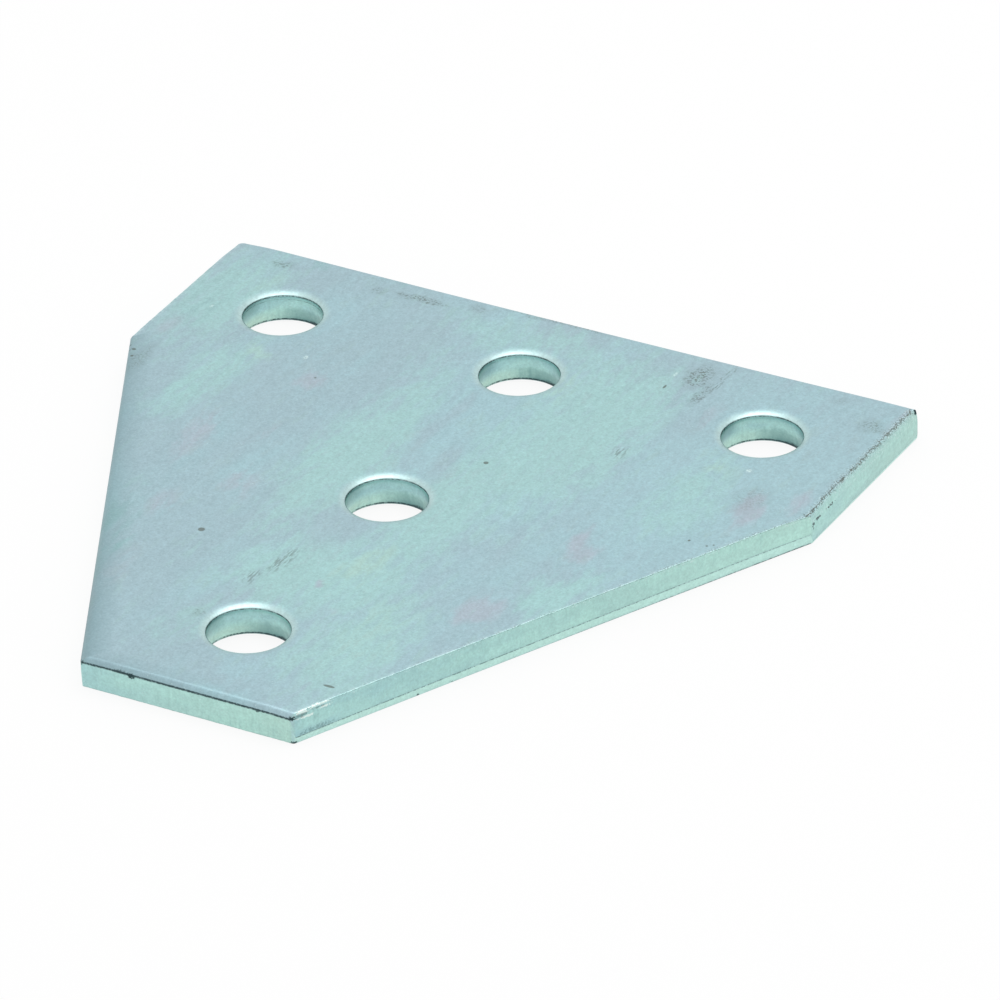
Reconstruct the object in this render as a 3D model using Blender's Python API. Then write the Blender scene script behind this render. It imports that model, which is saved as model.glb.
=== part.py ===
"""A five-hole tee plate for strut channel: one piece of sheared and punched flat steel.

The frame is +X along the bar of the tee, +Y from the stem to the bar and +Z up. Its origin is
the axis of the middle hole, at the underside. All sizes are in metres.
"""
import math

import bmesh
import bpy
from mathutils import Vector

# The blank. Plan sizes are taken over the bright sheared band of its edges.
END_HEIGHT = 0.0392
STEM_WIDTH = 0.0412
THICKNESS = 0.0060
CORNER_RADIUS = 0.0012

# The holes: three along the bar and two down the stem, all on one pitch. The edges of the
# blank are set out from the outer holes' centres.
HOLE_PITCH = 0.047625
HOLE_DIAMETER = 0.0143
BACK_EDGE_TO_HOLES = 0.0197
BAR_END_TO_HOLE = 0.0204
STEM_END_TO_HOLE = 0.0204

# The section that a shear or a punch leaves, from the side that the blade entered. The shear
# rolls the edge over tightly. The punch draws a wider and shallower dish round each hole.
SHEAR_ROLL_WIDTH = 0.0012
SHEAR_ROLL_DEPTH = 0.0010
SHEAR_TEAR_SETBACK = 0.0002
PUNCH_ROLL_WIDTH = 0.0022
PUNCH_ROLL_DEPTH = 0.00065
PUNCH_TEAR_SETBACK = 0.0005
BRIGHT_BAND = 0.0018
BURR_BREAK = 0.00015

# How finely round stretches are divided.
ROLL_STEPS = 4
CORNER_STEPS = 4
HOLE_STEPS = 48

# A cutter reaches this far past both faces of the plate.
CUTTER_REACH = 0.002

# The finish: clear zinc plating, pale blue-grey with a green cast.
ZINC_COLOUR = (0.39, 0.57, 0.59, 1.0)
ZINC_ROUGHNESS = 0.42
ZINC_METALLIC = 1.0


def clear_scene():
    """Removes whatever the file holds."""
    for thing in list(bpy.data.objects):
        bpy.data.objects.remove(thing, do_unlink=True)


def zinc_plating():
    """The one material of the plate."""
    material = bpy.data.materials.new("zinc_plating")
    material.use_nodes = True
    shader = material.node_tree.nodes["Principled BSDF"]
    shader.inputs["Base Color"].default_value = ZINC_COLOUR
    shader.inputs["Roughness"].default_value = ZINC_ROUGHNESS
    shader.inputs["Metallic"].default_value = ZINC_METALLIC
    return material


def cut_section(roll_width, roll_depth, tear_setback):
    """One cut wall as (setback into the metal, depth below the blade's side) pairs.

    The metal first rolls down under the blade in an arc, then shears bright and square. Below
    that it breaks away and leans back, and it ends in a small burr at the far face.
    """
    steepest = 2 * math.atan2(roll_depth, roll_width)
    arc_radius = roll_width / math.sin(steepest)
    section = []
    for step in range(ROLL_STEPS + 1):
        angle = steepest * step / ROLL_STEPS
        setback = roll_width - arc_radius * math.sin(angle)
        section.append((setback, arc_radius * (1 - math.cos(angle))))
    section.append((0.0, roll_depth + BRIGHT_BAND))
    section.append((tear_setback, THICKNESS - BURR_BREAK))
    section.append((tear_setback + BURR_BREAK, THICKNESS))
    return section


def sheared_wall(rolled_up):
    """A sheared edge's section as (setback, height) pairs, from the top face down."""
    section = cut_section(SHEAR_ROLL_WIDTH, SHEAR_ROLL_DEPTH, SHEAR_TEAR_SETBACK)
    if rolled_up:
        return [(setback, THICKNESS - depth) for setback, depth in section]
    return [(setback, depth) for setback, depth in reversed(section)]


def plan_corners():
    """The six corners of the blank, anticlockwise, each with how the side after it was cut.

    The second value says whether the blade entered that side from the top, so that the top
    edge is rolled, or from below, so that the top edge is sharp and the bottom edge rolled.
    """
    back = HOLE_PITCH + BACK_EDGE_TO_HOLES
    front = -HOLE_PITCH - STEM_END_TO_HOLE
    half_bar = HOLE_PITCH + BAR_END_TO_HOLE
    half_stem = STEM_WIDTH / 2
    return [
        (Vector((-half_stem, front)), True),
        (Vector((half_stem, front)), False),
        (Vector((half_bar, back - END_HEIGHT)), False),
        (Vector((half_bar, back)), True),
        (Vector((-half_bar, back)), False),
        (Vector((-half_bar, back - END_HEIGHT)), True),
    ]


def rounded_corner(previous, corner, following, radius):
    """Points along the arc that rounds one corner, with how far along the arc each one is."""
    arriving = (corner - previous).normalized()
    leaving = (following - corner).normalized()
    turn = arriving.angle(leaving)
    tangent = radius * math.tan(turn / 2)
    centre = corner - arriving * tangent + Vector((-arriving.y, arriving.x)) * radius
    points = []
    for step in range(CORNER_STEPS + 1):
        share = step / CORNER_STEPS
        heading = math.atan2(arriving.y, arriving.x) + turn * share
        outward = Vector((math.sin(heading), -math.cos(heading)))
        points.append((centre + outward * radius, share))
    return points


def crossing(point_a, along_a, point_b, along_b):
    """Where two lines in the plan cross."""
    across = along_a.x * along_b.y - along_a.y * along_b.x
    gap = point_b - point_a
    return point_a + along_a * ((gap.x * along_b.y - gap.y * along_b.x) / across)


def outline_loop(level):
    """The outline at one level of the sheared section, as points in space."""
    corners = plan_corners()
    count = len(corners)
    sides = []
    for index, (start, rolled_up) in enumerate(corners):
        end = corners[(index + 1) % count][0]
        along = (end - start).normalized()
        setback, height = sheared_wall(rolled_up)[level]
        inward = Vector((-along.y, along.x))
        sides.append((start + inward * setback, along, setback, height))
    inset = []
    for index, (start, along, _, _) in enumerate(sides):
        before_start, before_along, _, _ = sides[index - 1]
        inset.append(crossing(before_start, before_along, start, along))
    loop = []
    for index, corner in enumerate(inset):
        setback_in, height_in = sides[index - 1][2:]
        setback_out, height_out = sides[index][2:]
        spare = CORNER_RADIUS - (setback_in + setback_out) / 2
        radius = max(spare, CORNER_RADIUS / 8)
        following = inset[(index + 1) % count]
        for point, share in rounded_corner(inset[index - 1], corner, following, radius):
            height = height_in + (height_out - height_in) * share
            loop.append((point.x, point.y, height))
    return loop


def skin_between_loops(mesh, upper, lower):
    """Joins two loops of the same length with a band of faces that point outwards."""
    count = len(upper)
    for index in range(count):
        after = (index + 1) % count
        mesh.faces.new((upper[index], lower[index], lower[after], upper[after]))


def object_from(mesh, name):
    """Turns a bmesh into an object in the scene."""
    bmesh.ops.recalc_face_normals(mesh, faces=mesh.faces)
    data = bpy.data.meshes.new(name)
    mesh.to_mesh(data)
    mesh.free()
    thing = bpy.data.objects.new(name, data)
    bpy.context.scene.collection.objects.link(thing)
    return thing


def sheared_blank():
    """The plate before it is punched: the outline's loops, skinned from top to bottom."""
    mesh = bmesh.new()
    loops = []
    for level in range(len(sheared_wall(True))):
        loops.append([mesh.verts.new(point) for point in outline_loop(level)])
    for upper, lower in zip(loops, loops[1:]):
        skin_between_loops(mesh, upper, lower)
    mesh.faces.new(loops[0])
    mesh.faces.new(list(reversed(loops[-1])))
    return object_from(mesh, "tee_plate")


def punch_profile():
    """The side of the punched hole, top to bottom, as (radius, height) pairs."""
    section = cut_section(PUNCH_ROLL_WIDTH, PUNCH_ROLL_DEPTH, PUNCH_TEAR_SETBACK)
    radius = HOLE_DIAMETER / 2
    profile = [(radius + setback, THICKNESS - depth) for setback, depth in section]
    above = (profile[0][0], THICKNESS + CUTTER_REACH)
    below = (profile[-1][0], -CUTTER_REACH)
    return [above] + profile + [below]


def punch_cutter(name, centre):
    """What one stroke of the punch takes away, as a turned solid."""
    mesh = bmesh.new()
    loops = []
    for radius, height in punch_profile():
        loop = []
        for step in range(HOLE_STEPS):
            angle = math.tau * step / HOLE_STEPS
            place = (radius * math.cos(angle), radius * math.sin(angle), height)
            loop.append(mesh.verts.new(place))
        loops.append(loop)
    for upper, lower in zip(loops, loops[1:]):
        skin_between_loops(mesh, upper, lower)
    mesh.faces.new(loops[0])
    mesh.faces.new(list(reversed(loops[-1])))
    cutter = object_from(mesh, name)
    cutter.location = (centre[0], centre[1], 0.0)
    cutter.hide_render = True
    cutter.display_type = "WIRE"
    return cutter


def hole_centres():
    """The hole centres: three across the bar, then two down the stem."""
    bar = [(column * HOLE_PITCH, HOLE_PITCH) for column in (-1, 0, 1)]
    stem = [(0.0, row * HOLE_PITCH) for row in (0, -1)]
    return bar + stem


def punch_holes(plate):
    """Punches every hole from the top."""
    for number, centre in enumerate(hole_centres(), start=1):
        cut = plate.modifiers.new(f"punch_{number}", "BOOLEAN")
        cut.operation = "DIFFERENCE"
        cut.solver = "EXACT"
        cut.object = punch_cutter(f"punch_cutter_{number}", centre)


def shade_round_parts(plate, cutters):
    """Smooth shading on the rolls and holes, with the flat faces kept crisp."""
    for thing in [plate] + cutters:
        thing.data.shade_smooth()
        thing.data.set_sharp_from_angle(angle=math.radians(35))


def build():
    clear_scene()
    plate = sheared_blank()
    plate.data.materials.append(zinc_plating())
    punch_holes(plate)
    cutters = [thing for thing in bpy.data.objects if thing.name.startswith("punch_cutter")]
    shade_round_parts(plate, cutters)


build()
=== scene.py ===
"""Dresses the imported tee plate: a fine sheared and punched mesh in clear zinc plating.

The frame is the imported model's: +X along the bar of the tee, +Y from the stem to the bar and
+Z up, in metres. Its origin is the axis of the middle hole, at the underside.
"""
import math

import bpy
from mathutils import Matrix, Vector, noise
from mathutils.geometry import delaunay_2d_cdt


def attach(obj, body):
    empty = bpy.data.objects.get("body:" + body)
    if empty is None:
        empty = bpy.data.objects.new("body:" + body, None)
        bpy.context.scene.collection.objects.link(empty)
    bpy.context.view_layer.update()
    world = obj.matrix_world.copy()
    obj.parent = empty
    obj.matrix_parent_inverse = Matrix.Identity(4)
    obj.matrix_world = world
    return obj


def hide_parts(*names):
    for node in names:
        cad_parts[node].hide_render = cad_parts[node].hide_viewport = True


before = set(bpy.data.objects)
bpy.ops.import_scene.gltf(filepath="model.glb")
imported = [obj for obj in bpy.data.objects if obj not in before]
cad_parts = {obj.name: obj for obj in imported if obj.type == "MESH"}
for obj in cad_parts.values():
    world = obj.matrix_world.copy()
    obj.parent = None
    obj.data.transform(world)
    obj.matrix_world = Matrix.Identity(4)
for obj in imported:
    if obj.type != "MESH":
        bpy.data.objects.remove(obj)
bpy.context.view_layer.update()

MM = 0.001

# The blank and its holes, as the CAD source has them.
END_HEIGHT = 39.2 * MM
STEM_WIDTH = 41.2 * MM
THICKNESS = 6.0 * MM
HOLE_PITCH = 47.625 * MM
HOLE_RADIUS = 7.15 * MM
BACK_EDGE_TO_HOLES = 19.7 * MM
BAR_END_TO_HOLE = 20.4 * MM
STEM_END_TO_HOLE = 20.4 * MM

# The section of a cut wall, finer than the CAD's: the roll under the blade, a crease at its
# foot, the bright sheared band, the torn band that leans back, and the burred far edge. The
# tear comes on over a length round the end of the bright band, and the wall's last plain level
# lies a little before the far edge.
CREASE_DEPTH = 0.06 * MM
BRIGHT_BAND = 1.8 * MM
TEAR_ONSET = 2.5 * MM
FAR_EDGE_LEAD = 0.2 * MM

# The roll that the punch leaves round each hole.
PUNCH_ROLL_WIDTH = 2.2 * MM
PUNCH_ROLL_DEPTH = 0.65 * MM

# How a cut's looks fade out over the faces: (distance from the cut, share left) pairs.
SHADE_FADE = ((2.2 * MM, 0.25), (1.2 * MM, 0.4), (0.5 * MM, 0.5))
ARRIS_FADE = ((0.2 * MM, 0.85), (0.5 * MM, 0.6), (0.9 * MM, 0.3), (1.5 * MM, 0.0))

# The lengths over which a sheared edge wanders, and over which that dies out at its ends. Each
# number that picks a run of this noise shifts its place by these two steps.
SLOW_WANDER = 6 * MM
COARSE_WANDER = 1.7 * MM
FINE_WANDER = 0.7 * MM
END_FADE = 1.0 * MM
SEED_STEPS = (7.31, 3.17)

# How finely the mesh is divided. The spots on a face lie in staggered rows, which are this
# share of their spacing apart.
ROLL_STEPS = 12
WALL_STEPS = 8
EDGE_STEPS = 4
CORNER_STEPS = 10
HOLE_STEPS = 144
EDGE_SPACING = 0.5 * MM
FACE_SPACING = 1.2 * MM
ROW_SHARE = 0.866
SAME_POINT = 1e-9

# The floor lies a little below the plate, so that the two faces don't coincide. Its glow is
# the share of plain white in what the camera sees of it, and the rest shows the shadow.
FLOOR_GAP = 0.05 * MM
FLOOR_HALF_WIDTH = 3000 * MM
FLOOR_GREY = (0.8, 0.8, 0.8, 1.0)
FLOOR_GLOW = 0.88

# The soft box over the plate.
BOX_LENGTH = 750 * MM
BOX_WIDTH = 300 * MM
BOX_PLACE = (90 * MM, 140 * MM, 750 * MM)
BOX_WATTS = 1.6

# The camera, solved from the photograph's straight edges and round holes. Its angles are in
# degrees and its sensor's width is in millimetres.
CAMERA_AZIMUTH = 29.200
CAMERA_ELEVATION = 30.749
CAMERA_ROLL = -1.398
CAMERA_DISTANCE = 1582.06 * MM
CAMERA_FOCAL_SHARE = 9.25203
CAMERA_AIM_HEIGHT = 3.2 * MM
CAMERA_AIM_RIGHT = -19.265 * MM
CAMERA_AIM_UP = -1.865 * MM
CAMERA_NEAREST = 50 * MM
CAMERA_FARTHEST = 50000 * MM
SENSOR_WIDTH = 36.0

# The plating's colours, as the light that it sends back, and the colours that paint light and shade
# onto it.
LILAC = (0.368, 0.512, 0.565, 1.0)
BLUE = (0.376, 0.560, 0.608, 1.0)
GREEN = (0.380, 0.602, 0.600, 1.0)
PINK = (0.412, 0.497, 0.563, 1.0)
STRAW = (0.412, 0.610, 0.568, 1.0)
DEEP = (0.310, 0.500, 0.520, 1.0)
WALL = (0.420, 0.675, 0.635, 1.0)
WALL_PALE = (0.475, 0.765, 0.695, 1.0)
WALL_BLUE = (0.360, 0.600, 0.620, 1.0)
WALL_STRAW = (0.480, 0.705, 0.610, 1.0)
# TEAR_AND_SHADE darkens the torn band, partly with its own colour and partly with painted shade.
TEAR_AND_SHADE = (0.290, 0.500, 0.480, 1.0)
# ROLL_HIGHLIGHT paints the highlight on the rolls of the top face, and LOWER_ROLL_REFLECTION paints
# the bright floor's reflection in the rolls of the underside.
ROLL_HIGHLIGHT = (0.470, 0.640, 0.640, 1.0)
LOWER_ROLL_REFLECTION = (0.530, 0.800, 0.735, 1.0)
# HIGHLIGHT paints highlights: glints and sparkle on the faces, the bright arrises and the pale
# chips.
HIGHLIGHT = (0.64, 0.80, 0.80, 1.0)
CHIP = (0.76, 0.90, 0.86, 1.0)
# CREASE_SHADE paints the shade in creases, along rims and edges and in small nicks; SHADE paints
# shade over wider parts of the walls and rolls.
CREASE_SHADE = (0.035, 0.065, 0.07, 1.0)
SHADE = (0.055, 0.165, 0.18, 1.0)
DIRT = (0.13, 0.15, 0.13, 1.0)

# Where those colours gather on the top face, in millimetres: x, y, width, height, strength.
BLUE_CLOUDS = (
    (48, 26, 70, 140, 1.0),
    (2, 30, 64, 100, 0.9),
)
GREEN_CLOUDS = (
    (19, 34, 42, 94, 0.95),
    (21, 30, 18, 50, 0.9),
    (-12, 10, 27, 100, 0.95),
    (-11, 8, 14, 50, 0.9),
    (11, 4, 30, 106, 0.95),
    (2, -28, 58, 46, 0.95),
    (19, -46, 30, 60, 0.9),
    (-2, 58, 70, 26, 0.65),
    (-60, 48, 26, 60, 0.95),
    (-49, 20, 19, 54, 0.8),
    (46, 24, 22, 56, 0.75),
    (41, -16, 20, 26, 0.95),
    (-10, -50, 18, 30, 0.5),
)
LILAC_CLOUDS = (
    (-3, 26, 6, 40, 1.0),
    (3.5, 17, 7, 26, 0.9),
    (-2, -14, 10, 22, 0.8),
    (-32, 24, 34, 110, 0.7),
    (-30, -34, 20, 64, 0.7),
    (2, -63, 48, 11, 0.8),
    (60, 50, 18, 38, 0.5),
    (35, 46, 12, 40, 0.7),
    (33, 6, 12, 34, 0.45),
)
PINK_CLOUDS = (
    (-31, 28, 7, 15, 0.8),
    (-40, 3, 9, 26, 0.8),
    (-30, 9, 6, 12, 0.6),
    (-34, -18, 8, 22, 0.7),
    (-25, -7, 9, 16, 0.6),
    (-30, -42, 8, 24, 0.4),
    (38, 0, 9, 14, 1.0),
    (32, -25, 10, 18, 1.0),
    (58, 21, 9, 19, 1.0),
    (64, 30, 6, 15, 0.8),
    (66, 62, 4, 18, 0.6),
    (37, 50, 4, 18, 0.7),
    (3.5, -32, 4, 6, 0.8),
    (10, -37, 5, 5, 0.6),
    (-64, 34, 5, 16, 0.6),
)
STRAW_CLOUDS = (
    (9, 46, 10, 16, 0.6),
    (7, -23, 12, 22, 0.7),
    (46, 35, 9, 8, 0.8),
    (-46, 33, 12, 7, 0.6),
    (18, -40, 22, 36, 0.3),
    (-58, 56, 18, 16, 0.3),
)
# DEEP darkens the top face in patches along its left end and its left diagonal.
DEEP_CLOUDS = (
    (-62, 46, 14, 50, 0.35),
    (-38, -34, 16, 64, 0.5),
    (-33, -45, 9, 44, 0.6),
    (-44, 66, 60, 6, 0.5),
)

# The tints in the order that they are laid on, each with the name that the mesh carries it by.
TINTS = (
    ("tint_blue", BLUE, BLUE_CLOUDS),
    ("tint_green", GREEN, GREEN_CLOUDS),
    ("tint_lilac", LILAC, LILAC_CLOUDS),
    ("tint_pink", PINK, PINK_CLOUDS),
    ("tint_straw", STRAW, STRAW_CLOUDS),
    ("tint_deep", DEEP, DEEP_CLOUDS),
)

# The waves that loosen the tints' outlines, in millimetres: length along x and y, then push
# along x and y.
TINT_WAVES = (
    (7, 18, 2.2, 6.0),
    (2.5, 7, 0.9, 2.5),
)

# Scuffed patches, strokes and dark spots on the top face, and glints painted as highlights on it,
# given as the clouds are.
SCUFFS = (
    (29, 60, 7, 12, 1.0),
    (32, 55, 2.5, 12, 0.8),
    (-56, 62.7, 7, 4, 0.7),
    (-36, 61.8, 4, 4, 0.5),
    (-28, 62.6, 15, 3, 0.9),
    (-17, 64, 5, 3, 0.5),
    (-2, 66, 30, 1.6, 0.7),
    (56, 27, 9, 14, 0.4),
    (63.4, 58.2, 7, 6, 0.7),
    (55, 63.4, 4, 4, 0.4),
    (-10, -47, 4, 4, 0.6),
    (-62, 22, 5, 16, 0.5),
)
STROKES = (
    (-5.5, -26, 4, 12, 0.7),
    (-7.5, -33, 4, 7, 0.6),
    (28.6, 31, 4, 5, 0.6),
    (33, 61, 1.4, 14, 0.9),
)
SPOTS = (
    (-23, -23.5, 1.8, 1.8, 0.8),
    (9.7, 17.6, 1.3, 1.3, 0.9),
    (21.2, -57.8, 3.2, 1.0, 0.8),
    (-31, 30, 0.8, 0.8, 0.5),
    (25.1, 54.4, 0.7, 2.0, 0.7),
    (52.9, 10.2, 0.8, 1.0, 0.6),
    (56.4, 9.9, 0.7, 0.7, 0.7),
    (57.3, 10.7, 0.6, 0.6, 0.6),
    (-64.6, 24.6, 1.2, 1.0, 0.9),
    (-63.7, 22.4, 0.9, 0.9, 0.8),
    (-64.0, 20.6, 0.7, 0.7, 0.7),
)
GLINTS = (
    (51.4, 35.3, 1.6, 1.6, 1.0),
    (-36, 35.5, 1.2, 1.8, 1.0),
    (-46, 51.5, 1.6, 1.2, 0.9),
    (-60, 44, 1.0, 1.4, 0.7),
    (24.8, 59, 0.9, 2.6, 0.7),
)

# Dark marks on the cut walls and corners: nicks, pits and dark spots at the corners and at the
# ends of creases, with one streak of painted shade, in millimetres and degrees: x, y, z, length,
# height, turn and strength.
EDGE_MARKS = (
    (20.1, -68.0, 4.9, 1.4, 0.9, 0, 1.0),
    (20.3, -67.9, 0.1, 1.5, 1.1, 0, 1.0),
    (-20.5, -68.0, 4.9, 0.9, 0.9, 0, 0.9),
    (-10.9, -68.0, 4.8, 1.5, 1.0, 0, 1.0),
    (-12.8, -68.0, 5.0, 2.4, 0.7, 0, 0.7),
    (13.4, -68.0, 4.7, 0.8, 0.7, 0, 0.8),
    (20.75, -66.5, 5.0, 2.6, 0.8, 64, 0.5),
    (22.3, -63.4, 5.35, 2.8, 0.4, 64, 0.45),
    # This streak is painted shade, the shadow above the lower crease near the stem's right corner.
    (22.3, -63.9, 1.7, 6.0, 1.1, 64, 0.3),
    (31.4, -45.6, 0.2, 1.0, 0.5, 64, 0.9),
    (34.4, -39.6, 0.2, 1.4, 0.5, 64, 0.9),
    (67.7, 28.0, 3.4, 1.0, 1.6, 90, 0.9),
    (67.8, 29.8, 3.9, 2.6, 0.6, 90, 1.0),
    (67.8, 34.4, 4.0, 2.8, 0.6, 90, 1.0),
    (67.7, 66.9, 5.5, 1.2, 1.0, 90, 1.0),
    (-67.2, 26.6, 5.0, 0.9, 0.8, 116, 0.9),
    (-66.2, 25.6, 5.9, 0.6, 0.6, 116, 0.7),
    (-65.4, 24.0, 5.9, 0.5, 0.6, 116, 0.6),
)

# Bright torn chips on the cut walls, given the same way.
EDGE_CHIPS = (
    (20.85, -66.3, 5.6, 3.6, 0.7, 64, 1.0),
    (22.4, -63.2, 5.8, 4.4, 0.5, 64, 1.0),
    (21.2, -65.6, 4.5, 3.4, 0.5, 64, 0.9),
    (22.9, -62.2, 5.1, 2.6, 0.4, 64, 0.9),
)

# The grain of the steel and its plating: how long it is along x, y and z, in millimetres.
SLOW_GRAIN = (14, 30, 14)
DRIFT_GRAIN = (10, 24, 10)
STREAK_GRAIN = (1.2, 16, 16)
MOTTLE_GRAIN = (1.8, 6.0, 1.8)
SAND_GRAIN = (0.9, 1.2, 0.9)
SPECK_GRAIN = (0.42, 0.42, 0.42)
FINE_GRAIN = (0.26, 0.26, 0.26)

# The same for the cut walls, the ragged arris and the strokes and scuffs on the top face, and
# how far the outlines of the scuffs are pushed about.
WALL_GRAIN = (9, 9, 3)
SCRAPE_GRAIN = (0.7, 0.7, 5)
ARRIS_GRAIN = (1.3, 1.3, 1.3)
STROKE_GRAIN = (0.45, 2.6, 2)
SCUFF_GRAIN = (2, 2, 2)
SCUFF_REACH = (3, 3, 0)

# An oval on the top face reaches this far up and down, and one on a wall this far in and out.
ANY_HEIGHT = 1e6
MARK_DEPTH = 0.5

# The heights between which the looks of the underside give way to those of the top, in
# millimetres, and the depth of the grain.
TOP_FROM = 3.0
TOP_TO = 4.6
BUMP_DEPTH = 0.012 * MM

# How strongly the chips' painted highlight, the chewed line and the scuffs cover the plating.
CHIP_COVER = 0.6
CHEWED_COVER = 0.85
SCUFF_COVER = 0.75

# The plating's roughness at its smoothest and its roughest, and what tears and scuffs add.
SMOOTHEST = 0.36
ROUGHEST = 0.44
TORN_ROUGHNESS = 0.06
SCUFF_ROUGHNESS = 0.15

# What each vertex of the plate tells its material, one number from 0 to 1 each.
MASKS = ("roll", "crease", "wall", "tear", "edge", "ragged", "shade", "blue", "straw")


class Cut:
    """How one edge was cut.

    The lengths are the roll's width and depth, how far the torn band leans back, the width and
    height of the turn at the far edge, and half the height of the crease. The rest are
    strengths, mostly from 0 to 1: how dark the painted shade is in the crease, at the roll's rim
    and along the two lines at the far edge, how bright the painted highlight on the arris is, how
    ragged the arris is, how pale the painted highlight on the roll is, how dark the torn band is,
    partly its own colour and partly painted shade, and how shaded, blue and straw-coloured the
    wall is.
    """

    def __init__(self, roll_width, roll_depth, **looks):
        self.roll_width = roll_width
        self.roll_depth = roll_depth
        self.tear_setback = looks.get("tear_setback", 0.12 * MM)
        self.edge_width = looks.get("edge_width", 0.15 * MM)
        self.edge_height = looks.get("edge_height", 0.15 * MM)
        self.crease_height = looks.get("crease_height", 0.1 * MM)
        self.crease = looks.get("crease", 1.0)
        self.second_crease = looks.get("second_crease", ())
        self.rim = looks.get("rim", 0.0)
        self.edge_line = looks.get("edge_line", 0.5)
        self.far_line = looks.get("far_line", 0.0)
        self.arris = looks.get("arris", 1.0)
        self.ragged = looks.get("ragged", 0.0)
        self.pale = looks.get("pale", 1.0)
        self.tear = looks.get("tear", 0.2)
        self.shade = looks.get("shade", 0.0)
        self.blue = looks.get("blue", 0.0)
        self.straw = looks.get("straw", 0.0)


class Side:
    """One straight side of the blank and the corner at its start.

    The cut may change on its way from the start to the end, and the side may be a little
    hollow.
    """

    def __init__(self, start, corner_radius, rolled_up, cuts, hollow=0.0):
        self.start = Vector(start)
        self.corner_radius = corner_radius
        self.rolled_up = rolled_up
        self.cuts = cuts
        self.hollow = hollow
        self.along = None
        self.inward = None


# The punch left a second crease in the first hole, drawn as a line of painted shade: (distance
# below the first, darkness) pairs.
SECOND_CREASE = ((0.2 * MM, 0.2), (0.5 * MM, 0.1), (0.6 * MM, 0.9), (0.72 * MM, 0.1))

HOLE_LOOKS = {
    "tear_setback": 0.5 * MM,
    "edge_height": 0.4 * MM,
    "crease_height": 0.16 * MM,
    "edge_line": 1.0,
    "tear": 0.25,
    "arris": 0.0,
}
HOLE_CUT = Cut(PUNCH_ROLL_WIDTH, PUNCH_ROLL_DEPTH, **HOLE_LOOKS)
FIRST_HOLE_CUT = Cut(
    PUNCH_ROLL_WIDTH, PUNCH_ROLL_DEPTH, second_crease=SECOND_CREASE, **HOLE_LOOKS
)

# The six sides. A pair is the cut at the side's start and at its end.
STEM_END_CUTS = (
    Cut(1.0 * MM, 0.9 * MM, crease_height=0.28 * MM, pale=0.2, shade=0.3, blue=0.6),
    Cut(1.1 * MM, 0.9 * MM, crease_height=0.28 * MM, pale=0.2, tear=0.3, straw=0.6),
)
RIGHT_DIAGONAL_CUTS = (
    Cut(0.15 * MM, 1.1 * MM, crease_height=0.14 * MM, crease=0.6, ragged=0.3, blue=1.0),
    Cut(
        0.2 * MM,
        1.9 * MM,
        crease_height=0.14 * MM,
        crease=0.5,
        rim=0.8,
        ragged=0.6,
        arris=0.2,
        straw=0.5,
    ),
)
RIGHT_END_CUTS = (
    Cut(
        0.15 * MM,
        0.3 * MM,
        edge_width=0.6 * MM,
        edge_height=1.2 * MM,
        crease=0.1,
        edge_line=0.3,
        far_line=0.9,
        blue=0.5,
        ragged=1.0,
        arris=0.1,
    ),
    Cut(
        0.5 * MM,
        0.7 * MM,
        edge_width=0.9 * MM,
        edge_height=1.5 * MM,
        crease=0.0,
        edge_line=0.0,
        blue=0.5,
        ragged=1.0,
        arris=0.1,
        straw=0.7,
    ),
)
BACK_CUTS = (Cut(0.6 * MM, 0.7 * MM, crease=0.8),) * 2
LEFT_END_CUTS = (Cut(0.8 * MM, 1.0 * MM, crease=0.5, ragged=0.2),) * 2
LEFT_DIAGONAL_CUTS = (
    Cut(0.6 * MM, 0.5 * MM, crease=0.8, pale=0.0, shade=0.45),
    Cut(2.0 * MM, 1.1 * MM, crease=0.9, pale=0.0, shade=0.5),
)

# Plan headings round each hole, in degrees: where the wall gets its darkest painted shade low
# down, where it gets painted shade near its top, one of the two where the crease's painted shade
# is darkest, where the painted shade along the far rim is darkest, and where the painted shadow
# under the crease lies.
SHADED_HEADING = 68
SHADED_END_HEADING = 185
CREASE_HEADING = 29
RIM_HEADING = 50
CREASE_SHADOW_HEADING = 198


def blank_sides():
    """The six sides, anticlockwise from the left corner of the stem's end.

    Each corner has its own small error, as sheared on this plate, within the CAD's box.
    """
    back = HOLE_PITCH + BACK_EDGE_TO_HOLES
    front = -HOLE_PITCH - STEM_END_TO_HOLE
    half_bar = HOLE_PITCH + BAR_END_TO_HOLE
    half_stem = STEM_WIDTH / 2
    shoulder = back - END_HEIGHT
    corners = (
        (-half_stem + 0.05 * MM, front),
        (half_stem - 0.58 * MM, front),
        (half_bar - 0.50 * MM, shoulder - 0.75 * MM),
        (half_bar, back - 0.10 * MM),
        (-half_bar + 0.60 * MM, back - 0.02 * MM),
        (-half_bar + 0.62 * MM, shoulder + 0.04 * MM),
    )
    sides = [
        Side(corners[0], 0.5 * MM, True, STEM_END_CUTS),
        Side(corners[1], 0.9 * MM, False, RIGHT_DIAGONAL_CUTS, hollow=0.2 * MM),
        Side(corners[2], 1.2 * MM, False, RIGHT_END_CUTS),
        Side(corners[3], 0.5 * MM, True, BACK_CUTS, hollow=0.5 * MM),
        Side(corners[4], 1.2 * MM, False, LEFT_END_CUTS),
        Side(corners[5], 0.2 * MM, True, LEFT_DIAGONAL_CUTS),
    ]
    for side, following in zip(sides, sides[1:] + sides[:1]):
        side.along = (following.start - side.start).normalized()
        side.inward = Vector((-side.along.y, side.along.x))
    return sides


def hole_centres():
    """The hole centres: three across the bar, then two down the stem."""
    bar = [Vector((column * HOLE_PITCH, HOLE_PITCH)) for column in (-1, 0, 1)]
    stem = [Vector((0.0, row * HOLE_PITCH)) for row in (0, -1)]
    return bar + stem


def between(low, high, share):
    """The value that lies this share of the way from low to high."""
    return low + (high - low) * share


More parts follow.
